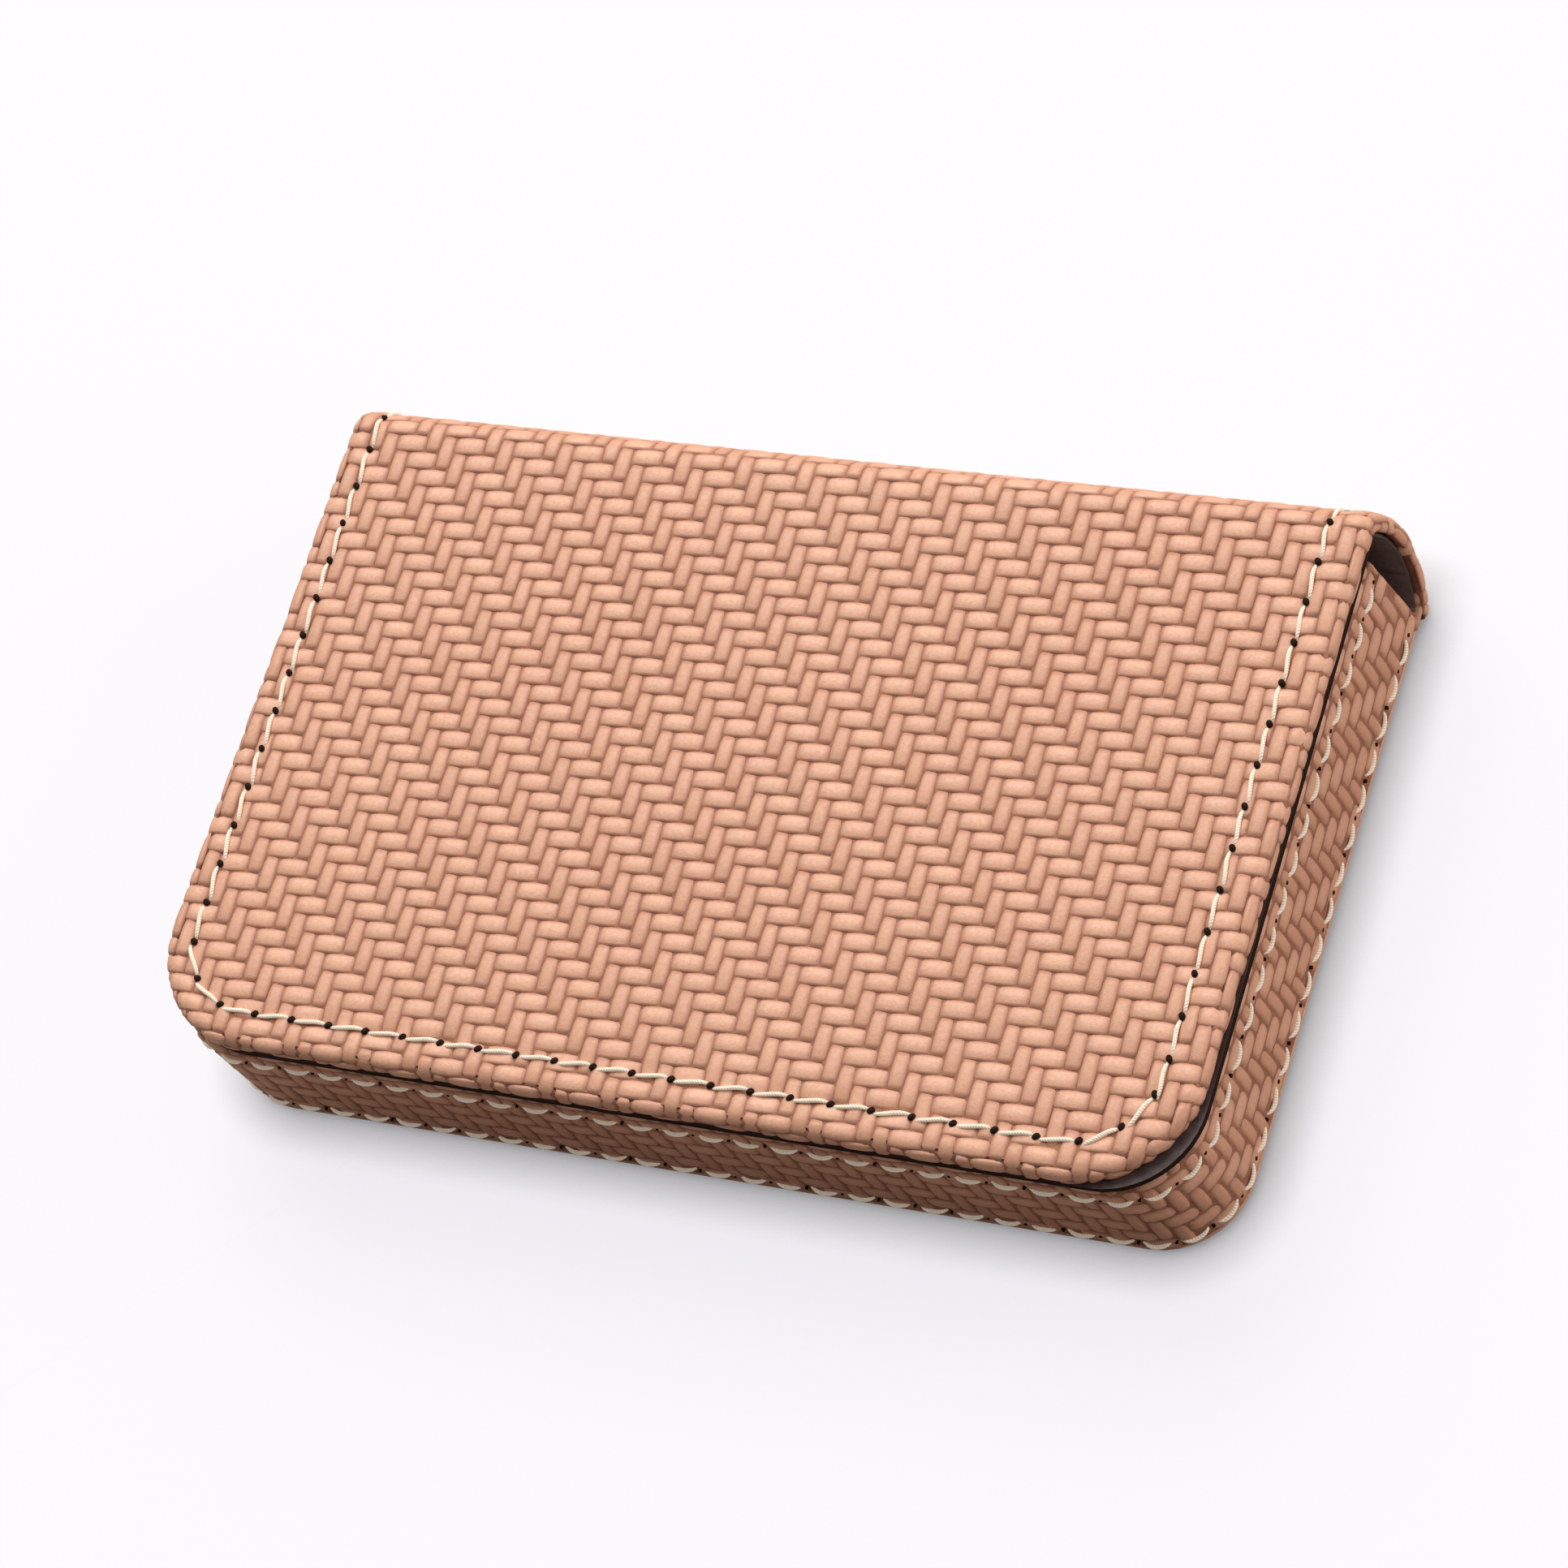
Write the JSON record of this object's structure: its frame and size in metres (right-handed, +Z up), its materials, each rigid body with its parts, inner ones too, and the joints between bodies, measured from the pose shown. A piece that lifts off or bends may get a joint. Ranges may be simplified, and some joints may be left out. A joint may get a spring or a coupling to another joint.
{
  "type": "business card case",
  "caption": "Slim business card case in woven-grain leatherette: a three-sided tray, a bowed flexible spine and a magnetic lid with contrast stitching.",
  "frame": {"origin": "on the surface that the closed case lies on, under the middle of its outer box", "axes": "+X along the long edge, +Y towards the spine, -Y towards the opening edge, +Z up out of the lid's outer face"},
  "size_m": [0.105, 0.0674, 0.018],
  "materials": {
    "woven_leatherette": "tan leatherette embossed with a two-over-two twill weave, satin",
    "dark_lining": "smooth dark brown lining, matte",
    "greyboard": "raw greyboard",
    "cream_thread": "cream polyester sewing thread",
    "nickel_steel": "nickel-plated, satin"
  },
  "bodies": {
    "tray": {"back_cover": "woven_leatherette", "back_board": "greyboard", "back_stitching": "cream_thread", "tray_floor_lining": "dark_lining", "wall_cover": "woven_leatherette", "wall_core": "greyboard", "wall_lining": "dark_lining", "wall_upper_stitching": "cream_thread", "wall_lower_stitching": "cream_thread", "wall_keeper_left": "nickel_steel", "wall_keeper_right": "nickel_steel"},
    "spine_lower": {"spine_cover_lower": "woven_leatherette", "spine_filler_lower": "greyboard", "spine_lining_lower": "dark_lining", "spine_stitching_left_lower": "cream_thread", "spine_stitching_right_lower": "cream_thread"},
    "spine_upper": {"spine_cover_upper": "woven_leatherette", "spine_filler_upper": "greyboard", "spine_lining_upper": "dark_lining", "spine_stitching_left_upper": "cream_thread", "spine_stitching_right_upper": "cream_thread"},
    "lid": {"lid_cover": "woven_leatherette", "lid_board": "greyboard", "lid_lining": "dark_lining", "lid_pocket": "dark_lining", "lid_stitching": "cream_thread", "lid_magnet_left": "nickel_steel", "lid_magnet_right": "nickel_steel"}
  },
  "joints": [
    {"name": "spine_back_fold", "type": "hinge", "parent": "tray", "child": "spine_lower", "pos_m": [0, 0.02947, 0], "axis": [-1, 0, 0], "range_deg": [0, 64.63]},
    {"name": "spine_bend", "type": "hinge", "parent": "spine_lower", "child": "spine_upper", "pos_m": [0, 0.03373, 0.009], "axis": [-1, 0, 0], "range_deg": [0, 50.74]},
    {"name": "lid_fold", "type": "hinge", "parent": "spine_upper", "child": "lid", "pos_m": [0, 0.02947, 0.018], "axis": [-1, 0, 0], "range_deg": [0, 64.63]}
  ],
  "couplings": [
    {"joint": "lid_fold", "follows": "spine_back_fold", "ratio": 1},
    {"joint": "spine_bend", "follows": "spine_back_fold", "ratio": 0.78489}
  ]
}
